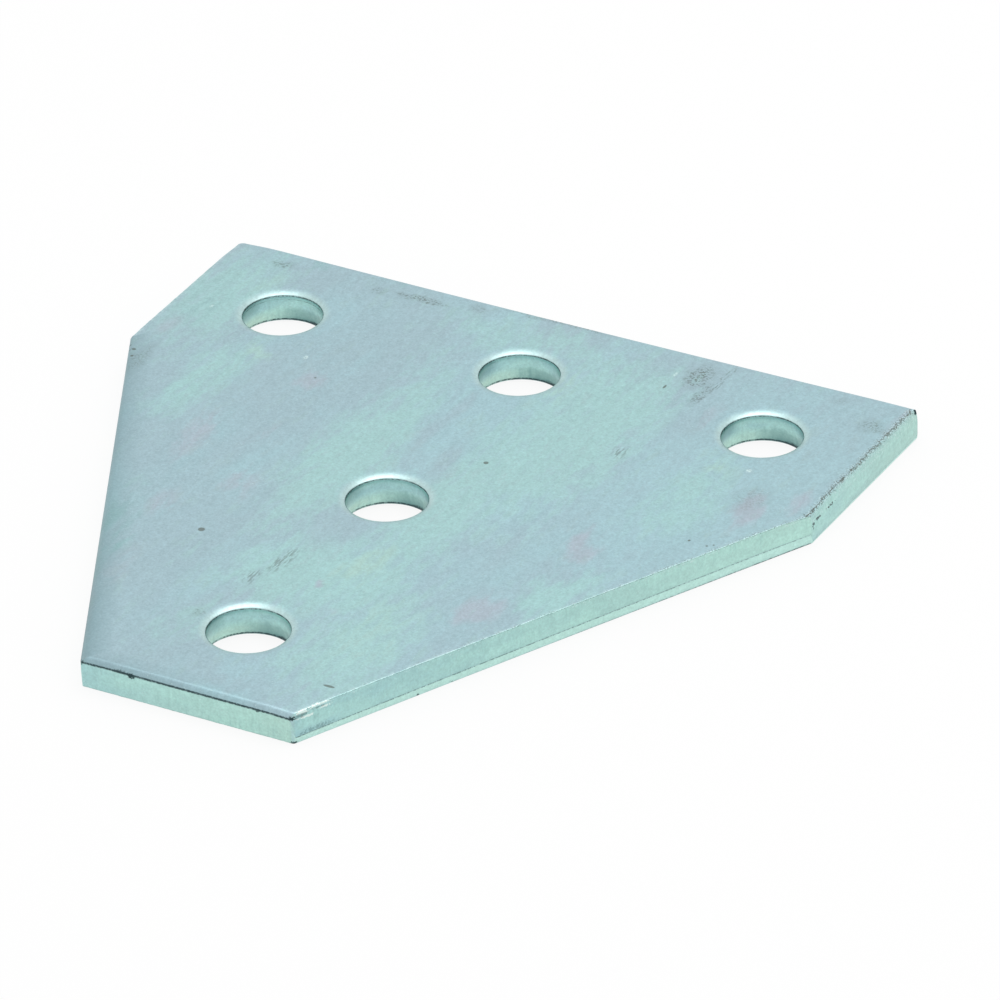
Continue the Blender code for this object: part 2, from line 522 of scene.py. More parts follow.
def smooth_step(share):
    """A share from 0 to 1, held to that range and eased at both ends."""
    share = min(max(share, 0.0), 1.0)
    return share * share * (3 - 2 * share)


def rag(place, size, seed):
    """Smooth noise from about -1 to 1 at a place along an edge, for one size of grain."""
    return noise.noise(Vector((place / size, seed * SEED_STEPS[0], seed * SEED_STEPS[1])))


class Level:
    """One line along a cut wall: how far it is set back, how high it is, and its masks."""

    def __init__(self, setback, height, masks):
        self.setback = setback
        self.height = height
        self.masks = masks

    def mask(self, name):
        """One of the level's masks."""
        return self.masks[MASKS.index(name)]

    def towards(self, other, share):
        """The level that lies this share of the way to another."""
        masks = [between(a, b, share) for a, b in zip(self.masks, other.masks)]
        setback = between(self.setback, other.setback, share)
        return Level(setback, between(self.height, other.height, share), masks)


class CutSection:
    """Gathers the levels of one cut wall, from the blade's side of the plate to the far one."""

    def __init__(self, cut, rolled_up):
        self.cut = cut
        self.rolled_up = rolled_up
        self.levels = []

    def add(self, setback, depth, **masks):
        """Adds one level. The masks that aren't given are 0."""
        height = THICKNESS - depth if self.rolled_up else depth
        masks.update(blue=self.cut.blue, straw=self.cut.straw)
        self.levels.append(Level(setback, height, [masks.get(name, 0.0) for name in MASKS]))

    def add_roll(self):
        """The face beside the cut, and the arc in which the metal rolled down."""
        cut = self.cut
        for extra, shade in SHADE_FADE:
            self.add(cut.roll_width + extra, 0.0, shade=cut.shade * shade)
        steepest = min(2 * math.atan2(cut.roll_depth, cut.roll_width), math.radians(90))
        for step in range(ROLL_STEPS + 1):
            share = step / ROLL_STEPS
            angle = steepest * share
            setback = cut.roll_width * (1 - math.sin(angle) / math.sin(steepest))
            depth = cut.roll_depth * (1 - math.cos(angle)) / (1 - math.cos(steepest))
            # The crease and rim lines are painted shade.
            near = cut.crease * smooth_step(share * ROLL_STEPS - ROLL_STEPS + 1)
            line = max(0.8 * near, cut.rim * smooth_step(1.6 - step / 4))
            shade = cut.shade * between(0.6, 1.0, share)
            # The roll mask paints the highlight on the roll.
            roll = cut.pale * (share if self.rolled_up else share ** 0.3)
            self.add(setback, depth, roll=roll, crease=line, shade=shade)

    def add_creases(self):
        """The crease at the roll's foot and any second one, darkened with painted shade. Returns
        where the wall starts.
        """
        cut = self.cut
        crease_at = cut.roll_depth + cut.crease_height
        self.add(CREASE_DEPTH, crease_at, roll=0.2 * cut.pale, crease=cut.crease, wall=0.6)
        wall_start = cut.roll_depth + 2 * cut.crease_height
        for below, line in cut.second_crease:
            self.add(0.0, crease_at + below, wall=1.0, crease=line)
            wall_start = crease_at + below + cut.crease_height
        return wall_start

    def add_wall(self, wall_start):
        """The bright band and the torn band below it, which leans back."""
        cut = self.cut
        wall_end = THICKNESS - cut.edge_height - FAR_EDGE_LEAD
        tear_start = cut.roll_depth + BRIGHT_BAND
        for step in range(WALL_STEPS + 1):
            depth = between(wall_start, wall_end, step / WALL_STEPS)
            torn = max(depth - tear_start, 0.0) / (wall_end - tear_start)
            tear = cut.tear * smooth_step((depth - tear_start) / TEAR_ONSET + 0.5)
            ragged = cut.ragged * max(4 * torn - 3, 0.0)
            self.add(cut.tear_setback * torn, depth, wall=1.0, tear=tear, ragged=ragged)

    def add_far_edge(self):
        """The turn of the far edge, and the face beyond it."""
        cut = self.cut
        edge_start = THICKNESS - cut.edge_height
        # The lines along the far edge are painted shade, and the edge mask paints the arris's
        # highlight.
        line = 0.9 * cut.edge_line
        self.add(cut.tear_setback, edge_start, wall=1.0, tear=cut.tear, crease=line)
        for step in range(1, EDGE_STEPS + 1):
            angle = math.radians(90) * step / EDGE_STEPS
            depth = edge_start + cut.edge_height * math.sin(angle)
            setback = cut.tear_setback + cut.edge_width * (1 - math.cos(angle))
            ragged = cut.ragged * (1 - 0.4 * step / EDGE_STEPS)
            looks = {"wall": math.cos(angle), "edge": cut.arris * math.sin(angle)}
            line = max(cut.edge_line / step, cut.far_line * (step == EDGE_STEPS))
            self.add(setback, depth, tear=cut.tear, crease=line, ragged=ragged, **looks)
        for extra, left in ARRIS_FADE:
            setback = cut.tear_setback + cut.edge_width + extra
            looks = {"edge": cut.arris * left ** 4, "ragged": 0.6 * left * cut.ragged}
            self.add(setback, THICKNESS, tear=cut.tear, **looks)


def cut_wall(cut, rolled_up):
    """The levels of one cut wall, from the top face down to the underside."""
    section = CutSection(cut, rolled_up)
    section.add_roll()
    wall_start = section.add_creases()
    section.add_wall(wall_start)
    section.add_far_edge()
    if not rolled_up:
        section.levels.reverse()
    return section.levels


def crossing(point_a, along_a, point_b, along_b):
    """Where two lines in the plan cross."""
    across = along_a.x * along_b.y - along_a.y * along_b.x
    gap = point_b - point_a
    return point_a + along_a * ((gap.x * along_b.y - gap.y * along_b.x) / across)


def corner_arc(before, after, setback_before, setback_after):
    """The arc that rounds the corner between two sides, each set back by its own distance."""
    corner = crossing(
        before.start + before.inward * setback_before,
        before.along,
        after.start + after.inward * setback_after,
        after.along,
    )
    radius = after.corner_radius - (setback_before + setback_after) / 2
    radius = max(radius, after.corner_radius / 8)
    turn = before.along.angle(after.along)
    centre = corner - before.along * radius * math.tan(turn / 2) + before.inward * radius
    first = math.atan2(before.along.y, before.along.x)
    arc = []
    for step in range(CORNER_STEPS + 1):
        heading = first + turn * step / CORNER_STEPS
        arc.append(centre + Vector((math.sin(heading), -math.cos(heading))) * radius)
    return arc


def rough_cut(level, side, number, place, length):
    """How far the cut wanders at a place along a side: (inwards, away from the burred face)."""
    edge = level.mask("edge")
    roll = level.mask("roll")
    fade = smooth_step(place / END_FADE) * smooth_step((length - place) / END_FADE)
    coarse = rag(place, COARSE_WANDER, number)
    fine = rag(place, FINE_WANDER, number + 20)
    size = edge * (0.4 + side.cuts[0].ragged) * MM
    inwards = size * (0.06 + 0.07 * coarse + 0.05 * fine)
    inwards += roll * 0.02 * MM * (1 + rag(place, SLOW_WANDER, number + 40))
    share = place / length
    inwards = max(inwards, 0.0) * fade + side.hollow * 4 * share * (1 - share)
    lost = max(size * (0.05 + 0.05 * coarse + 0.05 * fine), 0.0) * fade
    return inwards, lost


def outline_loop(sides, walls, row):
    """One level right round the blank, as (point, masks) pairs.

    The crease's painted shade dies out round each corner.
    """
    count = len(sides)
    arcs = []
    for i in range(count):
        before, after = walls[i - 1][1][row], walls[i][0][row]
        arcs.append(corner_arc(sides[i - 1], sides[i], before.setback, after.setback))
    loop = []
    for i, side in enumerate(sides):
        start_level, end_level = walls[i][0][row], walls[i][1][row]
        for step, point in enumerate(arcs[i]):
            share = step / CORNER_STEPS
            here = walls[i - 1][1][row].towards(start_level, share)
            masks = dict(zip(MASKS, here.masks))
            masks["crease"] *= abs(1 - 2 * share) ** 3
            loop.append(((point.x, point.y, here.height), [masks[name] for name in MASKS]))
        first, last = arcs[i][-1], arcs[(i + 1) % count][0]
        length = (sides[(i + 1) % count].start - side.start).length
        steps = round(length / EDGE_SPACING)
        for step in range(1, steps):
            share = step / steps
            level = start_level.towards(end_level, share)
            inwards, lost = rough_cut(level, side, i, length * share, length)
            point = first.lerp(last, share) + side.inward * inwards
            height = level.height + (lost if side.rolled_up else -lost)
            loop.append(((point.x, point.y, height), level.masks))
    return loop


def plan_heading(degrees):
    """The plan direction at this many degrees from +X towards +Y."""
    return Vector((math.cos(math.radians(degrees)), math.sin(math.radians(degrees))))


def hole_shade(heading, sunk, uneven):
    """How much painted shade a hole's wall gets in one direction, from 0 to 1 each.

    The first is painted shade low down on one side of the wall, and the second painted shade near
    its top on the other side. Sunk is 0 just under the crease and 1 at the rim.
    """
    # Torn measures how near the heading lies to the side painted in shade.
    torn = heading.dot(plan_heading(SHADED_HEADING)) + 0.06 * uneven
    low = smooth_step((sunk - 0.38 + 0.08 * uneven) / 0.2)
    dark = low * smooth_step((torn - 0.30) / 0.70) * between(0.4, 1.0, sunk ** 4)
    shaded_end = smooth_step((heading.dot(plan_heading(SHADED_END_HEADING)) - 0.80) / 0.18)
    return dark, shaded_end * smooth_step((0.7 - sunk) / 0.4)


def hole_line(crease, wall, heading, sunk, uneven):
    """How much painted shade a hole's creases get in one direction, with the painted shade along
    the far rim and the painted shadow under the crease at one end.
    """
    across = heading.dot(plan_heading(CREASE_HEADING))
    low_line = 0.7 + 0.3 * heading.dot(plan_heading(SHADED_HEADING))
    crease *= low_line if sunk > 0.5 else between(0.65, 1.0, across * across)
    corner = smooth_step((heading.dot(plan_heading(RIM_HEADING)) - 0.68) / 0.30)
    rim = corner * smooth_step((sunk - 0.80) / 0.12) * smooth_step((1 - sunk) / 0.02)
    nearest = heading.dot(plan_heading(CREASE_SHADOW_HEADING)) + 0.1 * uneven
    crease_shadow = smooth_step((nearest - 0.86) / 0.1) * smooth_step((0.09 - sunk) / 0.04)
    return max(crease, rim, 0.75 * crease_shadow * wall)


def hole_loop(centre, number, level):
    """One level round a hole, clockwise, as (point, masks) pairs."""
    edge = level.mask("edge")
    wall = max(level.mask("wall"), edge)
    wall_top = THICKNESS - PUNCH_ROLL_DEPTH
    sunk = (wall_top - level.height) / wall_top
    loop = []
    for step in range(HOLE_STEPS):
        heading = plan_heading(-360 * step / HOLE_STEPS)
        uneven = noise.noise(Vector((heading.x * 9, heading.y * 9, number * 5.3)))
        point = centre + heading * (HOLE_RADIUS + level.setback + edge * 0.04 * MM * uneven)
        dark, shaded_end = hole_shade(heading, sunk, uneven)
        masks = dict(zip(MASKS, level.masks))
        # The hole's painted shade, with a blue tint at its shaded end.
        masks["shade"] = wall * max(dark, 0.4 * shaded_end)
        masks["blue"] = max(shaded_end, 0.9 * smooth_step((0.62 - sunk) / 0.25))
        masks["straw"] = smooth_step((sunk - 0.5) / 0.3) * (1 - dark)
        masks["crease"] = hole_line(masks["crease"], wall, heading, sunk, uneven)
        loop.append(((point.x, point.y, level.height), [masks[name] for name in MASKS]))
    return loop


class PlateMesh:
    """Gathers the plate's vertices, faces and masks."""

    def __init__(self):
        self.points = []
        self.masks = []
        self.faces = []

    def add_loop(self, loop):
        """Adds a loop of (point, masks) pairs and returns its vertex numbers."""
        first = len(self.points)
        for point, masks in loop:
            self.points.append(point)
            self.masks.append(masks)
        return list(range(first, len(self.points)))

    def skin(self, upper, lower):
        """Joins two loops with a band of faces that point out of the metal."""
        count = len(upper)
        for i in range(count):
            after = (i + 1) % count
            self.faces.append((upper[i], lower[i], lower[after], upper[after]))

    def fill(self, outline, holes, spots, faces_up):
        """Fills a flat face between its outline and its holes, over spots within it."""
        height = self.points[outline[0]][2]
        flat = []
        edges = []
        for loop in [outline] + holes:
            first = len(flat)
            count = len(loop)
            flat += [Vector(self.points[vertex][:2]) for vertex in loop]
            edges += [(first + i, first + (i + 1) % count) for i in range(count)]
        numbers = [vertex for loop in [outline] + holes for vertex in loop]
        for spot in spots:
            numbers.append(len(self.points))
            self.points.append((spot.x, spot.y, height))
            self.masks.append([0.0] * len(MASKS))
            flat.append(spot)
        found = delaunay_2d_cdt(flat, edges, [], 1, SAME_POINT)
        places, triangles, origins = found[0], found[2], found[3]
        centres = hole_centres()
        rim = (flat[len(outline)] - centres[0]).length
        for triangle in triangles:
            corners = [places[i] for i in triangle]
            middle = (corners[0] + corners[1] + corners[2]) / 3
            in_a_hole = any((middle - centre).length < rim * 0.999 for centre in centres)
            if in_a_hole:
                continue
            face = [numbers[origins[i][0]] for i in triangle]
            turn = (corners[1] - corners[0]).cross(corners[2] - corners[0])
            if (turn > 0) != faces_up:
                face.reverse()
            self.faces.append(tuple(face))


def spots_within(sides, walls, row, hole_reach):
    """A staggered grid of spots on one face, clear of the outline's loop and the holes'."""
    margins = []
    for side, wall in zip(sides, walls):
        margins.append(max(wall[0][row].setback, wall[1][row].setback) + side.hollow)
    reach = max(abs(side.start.x) for side in sides)
    centres = hole_centres()
    spots = []
    for row_number in range(round(2 * reach / (FACE_SPACING * ROW_SHARE)) + 1):
        stagger = 0.5 * (row_number % 2)
        for column in range(round(2 * reach / FACE_SPACING) + 1):
            x = -reach + (column + stagger) * FACE_SPACING
            spot = Vector((x, -reach + row_number * FACE_SPACING * ROW_SHARE))
            clear = all(
                (spot - side.start).dot(side.inward) > margin + FACE_SPACING / 2
                for side, margin in zip(sides, margins)
            )
            gap = min((spot - centre).length for centre in centres)
            if clear and gap > hole_reach + FACE_SPACING / 2:
                spots.append(spot)
    return spots


def corner_droops(sides):
    """Where the blade pulled a corner of the top face down: (corner, depth, reach)."""
    depths = (0.1 * MM, 0.2 * MM, 0.4 * MM, 0.1 * MM, 0.35 * MM, 0.1 * MM)
    reaches = (3 * MM, 3 * MM, 5 * MM, 5 * MM, 4.5 * MM, 3 * MM)
    return [(side.start, depth, reach) for side, depth, reach in zip(sides, depths, reaches)]


def drooped(point, droops):
    """A point of the plate after its corners were pulled down."""
    x, y, z = point
    for corner, depth, reach in droops:
        gap = (Vector((x, y)) - corner).length
        z -= depth * math.exp(-(gap / reach) ** 2) * (point[2] / THICKNESS)
    return (x, y, z)


def wandered(point):
    """A plan point in millimetres, pushed about smoothly, so that clouds get loose outlines."""
    x, y = point[0] / MM, point[1] / MM
    pushed_x, pushed_y = x, y
    for number, (length_x, length_y, push_x, push_y) in enumerate(TINT_WAVES):
        place = (x / length_x, y / length_y)
        pushed_x += push_x * noise.noise(Vector((*place, 20 * number + 0.5)))
        pushed_y += push_y * noise.noise(Vector((*place, 20 * number + 10.5)))
    return pushed_x, pushed_y


def cover(x, y, ovals):
    """How much the clouds of one list cover a place: 1 in the middle of one, 0 outside all."""
    total = 0.0
    for middle_x, middle_y, width, height, strength in ovals:
        gap = math.hypot((x - middle_x) / (width / 2), (y - middle_y) / (height / 2))
        total = max(total, strength * smooth_step((1 - gap) / 0.85))
    return total


def add_tints(data, points):
    """Gives the mesh the cover of each tint's clouds at each vertex."""
    places = [wandered(point) for point in points]
    for name, _, ovals in TINTS:
        attribute = data.attributes.new(name, "FLOAT", "POINT")
        attribute.data.foreach_set("value", [cover(x, y, ovals) for x, y in places])


def plate_piece():
    """The whole plate as one fine mesh."""
    sides = blank_sides()
    walls = [[cut_wall(cut, side.rolled_up) for cut in side.cuts] for side in sides]
    mesh = PlateMesh()
    rows = range(len(walls[0][0]))
    outline = [mesh.add_loop(outline_loop(sides, walls, row)) for row in rows]
    centres = hole_centres()
    punched = [FIRST_HOLE_CUT] + [HOLE_CUT] * (len(centres) - 1)
    bores = [cut_wall(cut, True) for cut in punched]
    holes = []
    for number, (centre, bore) in enumerate(zip(centres, bores)):
        loops = [hole_loop(centre, number, level) for level in bore]
        holes.append([mesh.add_loop(loop) for loop in loops])
    for loops in [outline] + holes:
        for upper, lower in zip(loops, loops[1:]):
            mesh.skin(upper, lower)
    for row, faces_up in ((0, True), (-1, False)):
        spots = spots_within(sides, walls, row, HOLE_RADIUS + bores[0][row].setback)
        mesh.fill(outline[row], [loops[row] for loops in holes], spots, faces_up)
    droops = corner_droops(sides)
    data = bpy.data.meshes.new("zinc_tee_plate")
    data.from_pydata([drooped(point, droops) for point in mesh.points], [], mesh.faces)
    for index, name in enumerate(MASKS):
        attribute = data.attributes.new(name, "FLOAT", "POINT")
        attribute.data.foreach_set("value", [masks[index] for masks in mesh.masks])
    add_tints(data, mesh.points)
    data.shade_smooth()
    piece = bpy.data.objects.new("zinc_tee_plate", data)
    bpy.context.scene.collection.objects.link(piece)
    return piece


class Graph:
    """Short ways to write a material's nodes. Every socket takes a number or an output."""

    def __init__(self, tree):
        self.tree = tree
        tree.nodes.clear()

    def add(self, kind, inputs=(), **settings):
        """Adds one node, with its inputs given as (name or number, value) pairs."""
        node = self.tree.nodes.new(kind)
        for name, value in settings.items():
            setattr(node, name, value)
        for name, value in inputs:
            if isinstance(value, bpy.types.NodeSocket):
                self.tree.links.new(value, node.inputs[name])
            else:
                node.inputs[name].default_value = value
        return node

    def math(self, operation, a, b=0.0):
        """Ordinary arithmetic on two values."""
        return self.add("ShaderNodeMath", [(0, a), (1, b)], operation=operation).outputs[0]

    def mask(self, name):
        """One of the numbers that the mesh carries."""
        return self.add("ShaderNodeAttribute", attribute_name=name).outputs["Fac"]

    def rise(self, value, start, end, low=0.0, high=1.0):
        """Goes smoothly from low to high as a value goes from start to end."""
        inputs = [("Value", value), (1, start), (2, end), (3, low), (4, high)]
        return self.add(
            "ShaderNodeMapRange", inputs, interpolation_type="SMOOTHSTEP"
        ).outputs[0]

    def vector(self, operation, a, b):
        """Arithmetic on two vectors."""
        return self.add("ShaderNodeVectorMath", [(0, a), (1, b)], operation=operation).outputs[0]

    def stretched(self, place, sizes):
        """The place, in units of these three sizes."""
        return self.vector("DIVIDE", place, sizes)

    def noise(self, place, sizes, detail=2.0, rough=0.5):
        """Cloudy noise, about 0.3 to 0.7, with its clouds drawn out to these sizes."""
        inputs = [
            ("Vector", self.stretched(place, sizes)),
            ("Scale", 1.0),
            ("Detail", detail),
            ("Roughness", rough),
        ]
        return self.add("ShaderNodeTexNoise", inputs).outputs[0]

    def mix(self, share, low, high):
        """Mixes two colours."""
        inputs = [(0, share), (6, low), (7, high)]
        return self.add("ShaderNodeMix", inputs, data_type="RGBA").outputs[2]

    def oval_gap(self, place, middle, radii, turn=0.0):
        """How far the place is from an oval's middle: 0 there and 1 at the oval's rim."""
        inputs = [
            ("Vector", place),
            ("Location", middle),
            ("Rotation", (0, 0, math.radians(turn))),
            ("Scale", radii),
        ]
        local = self.add("ShaderNodeMapping", inputs, vector_type="TEXTURE").outputs[0]
        length = self.add("ShaderNodeVectorMath", [(0, local)], operation="LENGTH")
        return length.outputs["Value"]


def clouds(graph, place, ovals):
    """Several soft upright ovals on the top face as one mask, each fading out to its rim."""
    total = 0.0
    for x, y, width, height, strength in ovals:
        gap = graph.oval_gap(place, (x, y, 0), (width / 2, height / 2, ANY_HEIGHT))
        one = graph.math("MULTIPLY", graph.rise(gap, 0.3, 1.0, 1.0, 0.0), strength)
        total = graph.math("MAXIMUM", total, one)
    return total


def wandering(graph, place, size, reach):
    """The place, pushed about smoothly, so that what is laid on it gets a loose outline."""
    inputs = [("Vector", graph.stretched(place, size)), ("Scale", 1.0), ("Detail", 4.0)]
    push = graph.add("ShaderNodeTexNoise", inputs).outputs["Color"]
    push = graph.vector("SUBTRACT", push, (0.5, 0.5, 0.5))
    push = graph.vector("MULTIPLY", push, reach)
    return graph.vector("ADD", place, push)


def passivate_colour(graph, place, top):
    """The faint colours of the clear passivate, drawn out the way the steel was rolled."""
    drift = graph.noise(place, DRIFT_GRAIN, detail=4.0, rough=0.55)
    colour = graph.mix(graph.rise(drift, 0.40, 0.75), LILAC, BLUE)
    mottle = graph.noise(place, MOTTLE_GRAIN, detail=4.0, rough=0.6)
    loose = graph.rise(mottle, 0.25, 0.75, -0.35, 0.35)
    for name, tint, _ in TINTS:
        share = graph.rise(graph.math("ADD", graph.mask(name), loose), 0.1, 1.0)
        colour = graph.mix(graph.math("MULTIPLY", share, top), colour, tint)
    return colour


def wear_and_glints(graph, place, top, grain, fine_grain):
    """Where the top face is scuffed dark, and where it gets painted glints: two masks."""
    loose = wandering(graph, place, SCUFF_GRAIN, SCUFF_REACH)
    strokes = graph.noise(place, STROKE_GRAIN, detail=3.0)
    dots = graph.rise(grain, 0.47, 0.61, 0.12, 1.0)
    patch = graph.math("MULTIPLY", clouds(graph, loose, SCUFFS), dots)
    drawn = graph.math("MULTIPLY", clouds(graph, loose, STROKES), graph.rise(strokes, 0.46, 0.58))
    spot = graph.rise(clouds(graph, place, SPOTS), 0.15, 0.6)
    dark = graph.math("MAXIMUM", graph.math("MAXIMUM", patch, drawn), spot)
    glint = graph.math("MULTIPLY", clouds(graph, place, GLINTS), graph.rise(fine_grain, 0.4, 0.55))
    return graph.math("MULTIPLY", dark, top), graph.math("MULTIPLY", glint, top)


def edge_marks(graph, place, grain, marks):
    """The marks of one list, on the cut walls and at the corners, as one mask."""
    total = 0.0
    for x, y, z, length, tall, turn, strength in marks:
        gap = graph.oval_gap(place, (x, y, z), (length / 2, MARK_DEPTH, tall / 2), turn)
        ragged_gap = graph.math("ADD", gap, graph.rise(grain, 0.3, 0.7, -0.45, 0.45))
        one = graph.math("MULTIPLY", graph.rise(ragged_gap, 0.6, 1.2, 1.0, 0.0), strength)
        total = graph.math("MAXIMUM", total, one)
    return total


def cut_colour(graph, masks, place, top, surface):
    """The cut walls, with the torn band's colour and painted shade, and the rolls' painted
    highlight and reflection, laid over the colour of the faces, and how torn each place is.
    """
    soft = graph.noise(place, WALL_GRAIN, detail=3.0)
    lines = graph.noise(place, SCRAPE_GRAIN)
    sheared = graph.mix(graph.rise(soft, 0.35, 0.65), WALL, WALL_PALE)
    uneven = graph.rise(soft, 0.3, 0.6, 1.0, 0.5)
    for name, tint in (("blue", WALL_BLUE), ("straw", WALL_STRAW)):
        sheared = graph.mix(graph.math("MULTIPLY", masks[name], uneven), sheared, tint)
    wavy = graph.math("MULTIPLY", graph.math("SUBTRACT", soft, 0.5), 0.5)
    wavy = graph.math("ADD", wavy, graph.math("SUBTRACT", lines, 0.5))
    # The torn band's darkening is partly its own colour and partly painted shade.
    torn = graph.rise(graph.math("ADD", masks["tear"], wavy), 0.1, 1.0)
    sheared = graph.mix(torn, sheared, TEAR_AND_SHADE)
    colour = graph.mix(masks["wall"], surface, sheared)
    # The rolls get a painted highlight on top and the floor's painted reflection underneath.
    rolled = graph.mix(top, LOWER_ROLL_REFLECTION, ROLL_HIGHLIGHT)
    return graph.mix(graph.rise(masks["roll"], 0.25, 0.9), colour, rolled), torn


def chewed(graph, masks, place, grain, fine_grain):
    """Along the ragged arris: a dark broken line with specks, and the pale chips among them,
    painted as highlights.
    """
    wander = graph.noise(place, ARRIS_GRAIN, detail=3.0)
    middle = graph.rise(wander, 0.3, 0.7, 0.50, 0.72)
    gap = graph.math("ABSOLUTE", graph.math("SUBTRACT", masks["ragged"], middle))
    broken = graph.rise(grain, 0.42, 0.54)
    line = graph.math("MULTIPLY", graph.rise(gap, 0.03, 0.10, 1.0, 0.0), broken)
    near = graph.rise(gap, 0.1, 0.5, 1.0, 0.0)
    specks = graph.math("MULTIPLY", near, graph.rise(fine_grain, 0.45, 0.37))
    chips = graph.math("MULTIPLY", near, graph.rise(fine_grain, 0.56, 0.62))
    flat = graph.rise(masks["wall"], 0.5, 0.9, 1.0, 0.0)
    return graph.math("MULTIPLY", graph.math("MAXIMUM", line, specks), flat), chips


def grained(graph, colour, streak, sand, grain, fine_grain):
    """The colour with the light and dark of the grain in it, and sparkle painted as highlights
    where the finest grain peaks.
    """
    light = graph.rise(streak, 0.3, 0.7, 0.985, 1.015)
    light = graph.math("MULTIPLY", light, graph.rise(sand, 0.25, 0.75, 0.94, 1.06))
    light = graph.math("MULTIPLY", light, graph.rise(grain, 0.25, 0.75, 0.93, 1.07))
    inputs = [(0, colour), ("Scale", light)]
    colour = graph.add("ShaderNodeVectorMath", inputs, operation="SCALE").outputs[0]
    return graph.mix(graph.rise(fine_grain, 0.66, 0.78, 0.0, 0.6), colour, HIGHLIGHT)


def lined(graph, colour, masks, sand, grain):
    """The colour with the painted shade of the cuts and their creases, and the painted highlight on
    their arrises.
    """
    patchy = graph.rise(sand, 0.3, 0.7, 0.8, 1.0)
    colour = graph.mix(graph.math("MULTIPLY", masks["shade"], patchy), colour, SHADE)
    broken = graph.rise(grain, 0.35, 0.6, 0.35, 0.0)
    line = graph.math("SUBTRACT", masks["crease"], broken)
    colour = graph.mix(graph.rise(line, 0.1, 0.8, 0.0, 0.95), colour, CREASE_SHADE)
    pale = graph.math("MULTIPLY", masks["edge"], graph.rise(sand, 0.40, 0.60, 0.0, 0.5))
    return graph.mix(pale, colour, HIGHLIGHT)


def zinc_material():
    """Clear zinc plating: its tints, its sandy grain, its cut edges and its scuffs, with painted
    highlights and painted shade.
    """
    material = bpy.data.materials.new("clear_zinc")
    material.use_nodes = True
    graph = Graph(material.node_tree)
    where = graph.add("ShaderNodeTexCoord").outputs["Object"]
    inputs = [(0, where), ("Scale", 1 / MM)]
    place = graph.add("ShaderNodeVectorMath", inputs, operation="SCALE").outputs[0]
    height = graph.add("ShaderNodeSeparateXYZ", [(0, place)]).outputs["Z"]
    top = graph.rise(height, TOP_FROM, TOP_TO)
    masks = {name: graph.mask(name) for name in MASKS}
    streak = graph.noise(place, STREAK_GRAIN, detail=3.0)
    sand = graph.noise(place, SAND_GRAIN, detail=4.0, rough=0.65)
    grain = graph.noise(place, SPECK_GRAIN, rough=0.6)
    fine_grain = graph.noise(place, FINE_GRAIN, detail=1.0)

    surface = passivate_colour(graph, place, top)
    colour, torn = cut_colour(graph, masks, place, top, surface)
    colour = grained(graph, colour, streak, sand, grain, fine_grain)
    colour = lined(graph, colour, masks, sand, grain)
    chewed_line, chips = chewed(graph, masks, place, grain, fine_grain)
    # The pale chips and the glints are painted highlights.
    colour = graph.mix(graph.math("MULTIPLY", chips, CHIP_COVER), colour, HIGHLIGHT)
    colour = graph.mix(graph.math("MULTIPLY", chewed_line, CHEWED_COVER), colour, DIRT)
    dark, glint = wear_and_glints(graph, place, top, grain, fine_grain)
    colour = graph.mix(graph.math("MULTIPLY", dark, SCUFF_COVER), colour, DIRT)
    colour = graph.mix(glint, colour, HIGHLIGHT)
    colour = graph.mix(edge_marks(graph, place, grain, EDGE_CHIPS), colour, CHIP)
    colour = graph.mix(edge_marks(graph, place, grain, EDGE_MARKS), colour, CREASE_SHADE)

    slow = graph.noise(place, SLOW_GRAIN, detail=3.0)
    rough = graph.rise(slow, 0.3, 0.7, SMOOTHEST, ROUGHEST)
    rough = graph.math("ADD", rough, graph.math("MULTIPLY", torn, TORN_ROUGHNESS))
    rough = graph.math("ADD", rough, graph.math("MULTIPLY", dark, SCUFF_ROUGHNESS))
    lumps = graph.math("ADD", graph.math("MULTIPLY", grain, 0.4), graph.math("MULTIPLY", sand, 0.6))
    inputs = [("Strength", 1.0), ("Distance", BUMP_DEPTH), ("Height", lumps)]
    bump = graph.add("ShaderNodeBump", inputs)
    inputs = [
        ("Metallic", 1.0),
        ("Base Color", colour),
        ("Roughness", rough),
        ("Normal", bump.outputs[0]),
    ]
    shader = graph.add("ShaderNodeBsdfPrincipled", inputs)
    graph.add("ShaderNodeOutputMaterial", [("Surface", shader.outputs[0])])
    return material


def add_camera():
    """The camera at the photograph's place."""
    azimuth = math.radians(CAMERA_AZIMUTH)
    elevation = math.radians(CAMERA_ELEVATION)
    roll = math.radians(CAMERA_ROLL)
    level = math.cos(elevation)
    back = Vector((math.sin(azimuth) * level, -math.cos(azimuth) * level, math.sin(elevation)))
    flat_right = Vector((math.cos(azimuth), math.sin(azimuth), 0.0))
    flat_up = back.cross(flat_right)
    right = flat_right * math.cos(roll) + flat_up * math.sin(roll)
    up = flat_up * math.cos(roll) - flat_right * math.sin(roll)
    data = bpy.data.cameras.new("camera")
    data.sensor_width = SENSOR_WIDTH
    data.lens = SENSOR_WIDTH * CAMERA_FOCAL_SHARE
    data.clip_start = CAMERA_NEAREST
    data.clip_end = CAMERA_FARTHEST
    place = Vector((0.0, 0.0, CAMERA_AIM_HEIGHT)) + back * CAMERA_DISTANCE
    place -= right * CAMERA_AIM_RIGHT + up * CAMERA_AIM_UP
    camera = bpy.data.objects.new("camera", data)
    turn = Matrix((right, up, back)).transposed()
    camera.matrix_world = Matrix.Translation(place) @ turn.to_4x4()
    bpy.context.scene.collection.objects.link(camera)
    bpy.context.scene.camera = camera


def seen_as_background(graph):
    """1 for the rays that look at the background or reflect it, and 0 for the rest."""
    path = graph.add("ShaderNodeLightPath")
    seen = graph.math("MAXIMUM", path.outputs["Is Camera Ray"], path.outputs["Is Glossy Ray"])
    return graph.math("MAXIMUM", seen, path.outputs["Is Transmission Ray"])


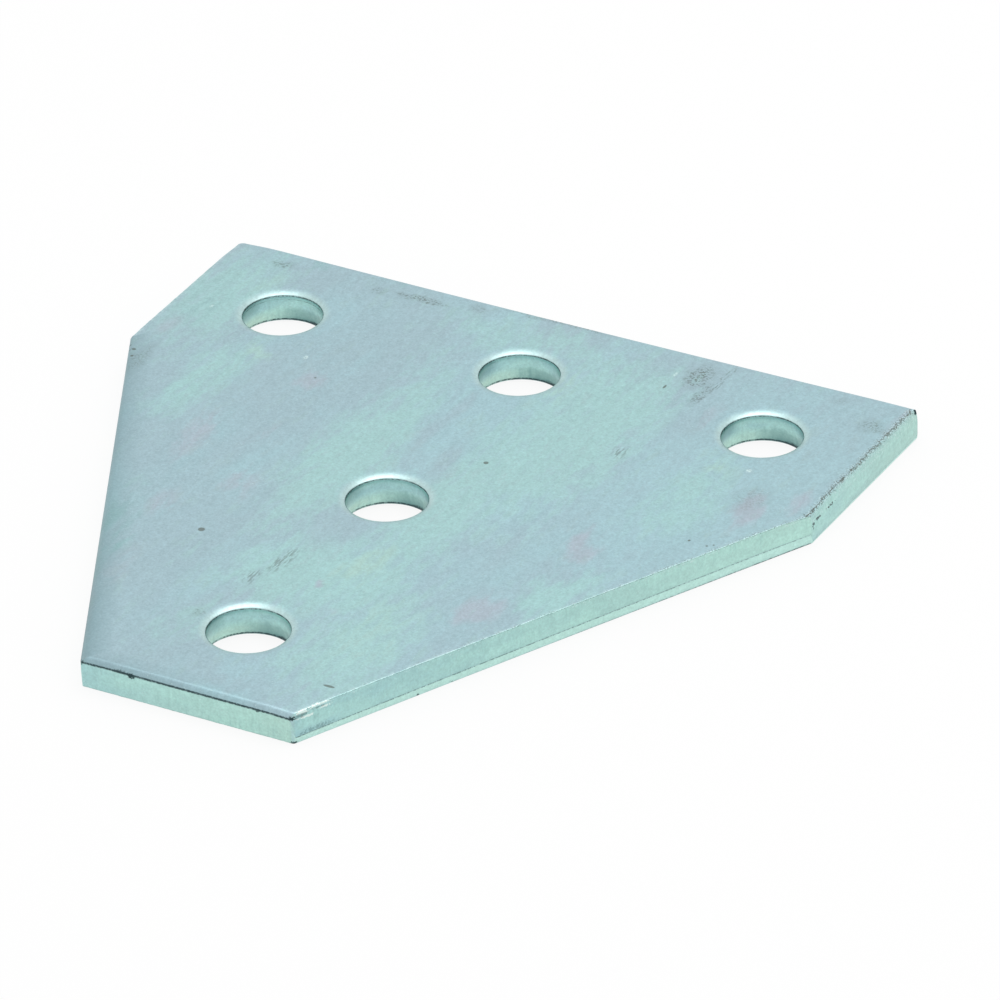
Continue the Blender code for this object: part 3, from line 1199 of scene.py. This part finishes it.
def floor_material():
    """Pale and matt from above, where it glows white to the camera, and clear from below."""
    material = bpy.data.materials.new("floor_white")
    material.use_nodes = True
    graph = Graph(material.node_tree)
    matt = graph.add("ShaderNodeBsdfDiffuse", [("Color", FLOOR_GREY)])
    glow = graph.add("ShaderNodeEmission", [("Strength", 1.0)])
    share = graph.math("MULTIPLY", seen_as_background(graph), FLOOR_GLOW)
    inputs = [(0, share), (1, matt.outputs[0]), (2, glow.outputs[0])]
    mixed = graph.add("ShaderNodeMixShader", inputs)
    from_below = graph.add("ShaderNodeNewGeometry").outputs["Backfacing"]
    clear = graph.add("ShaderNodeBsdfTransparent")
    inputs = [(0, from_below), (1, mixed.outputs[0]), (2, clear.outputs[0])]
    one_sided = graph.add("ShaderNodeMixShader", inputs)
    graph.add("ShaderNodeOutputMaterial", [("Surface", one_sided.outputs[0])])
    return material


def add_floor():
    """A plain pale floor just under the plate, clear from below so that the underside shows."""
    half = FLOOR_HALF_WIDTH
    low = -FLOOR_GAP
    corners = [(-half, -half, low), (half, -half, low), (half, half, low), (-half, half, low)]
    data = bpy.data.meshes.new("floor")
    data.from_pydata(corners, [], [(0, 1, 2, 3)])
    data.materials.append(floor_material())
    floor = bpy.data.objects.new("floor", data)
    bpy.context.scene.collection.objects.link(floor)


def add_light():
    """An even white room and one long soft box overhead, across the line of sight."""
    world = bpy.data.worlds.new("studio")
    world.use_nodes = True
    graph = Graph(world.node_tree)
    light = graph.add("ShaderNodeBackground", [("Color", (1, 1, 1, 1)), ("Strength", 1.0)])
    graph.add("ShaderNodeOutputWorld", [("Surface", light.outputs[0])])
    bpy.context.scene.world = world
    data = bpy.data.lights.new("soft_box", "AREA")
    data.shape = "RECTANGLE"
    data.size = BOX_LENGTH
    data.size_y = BOX_WIDTH
    data.energy = BOX_WATTS
    box = bpy.data.objects.new("soft_box", data)
    box.location = BOX_PLACE
    box.rotation_euler.z = math.radians(CAMERA_AZIMUTH)
    bpy.context.scene.collection.objects.link(box)


def build():
    bpy.context.scene.view_settings.view_transform = "Standard"
    add_camera()
    add_floor()
    add_light()
    plate = plate_piece()
    plate.data.materials.append(zinc_material())
    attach(plate, "root")
    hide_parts("tee_plate")


build()
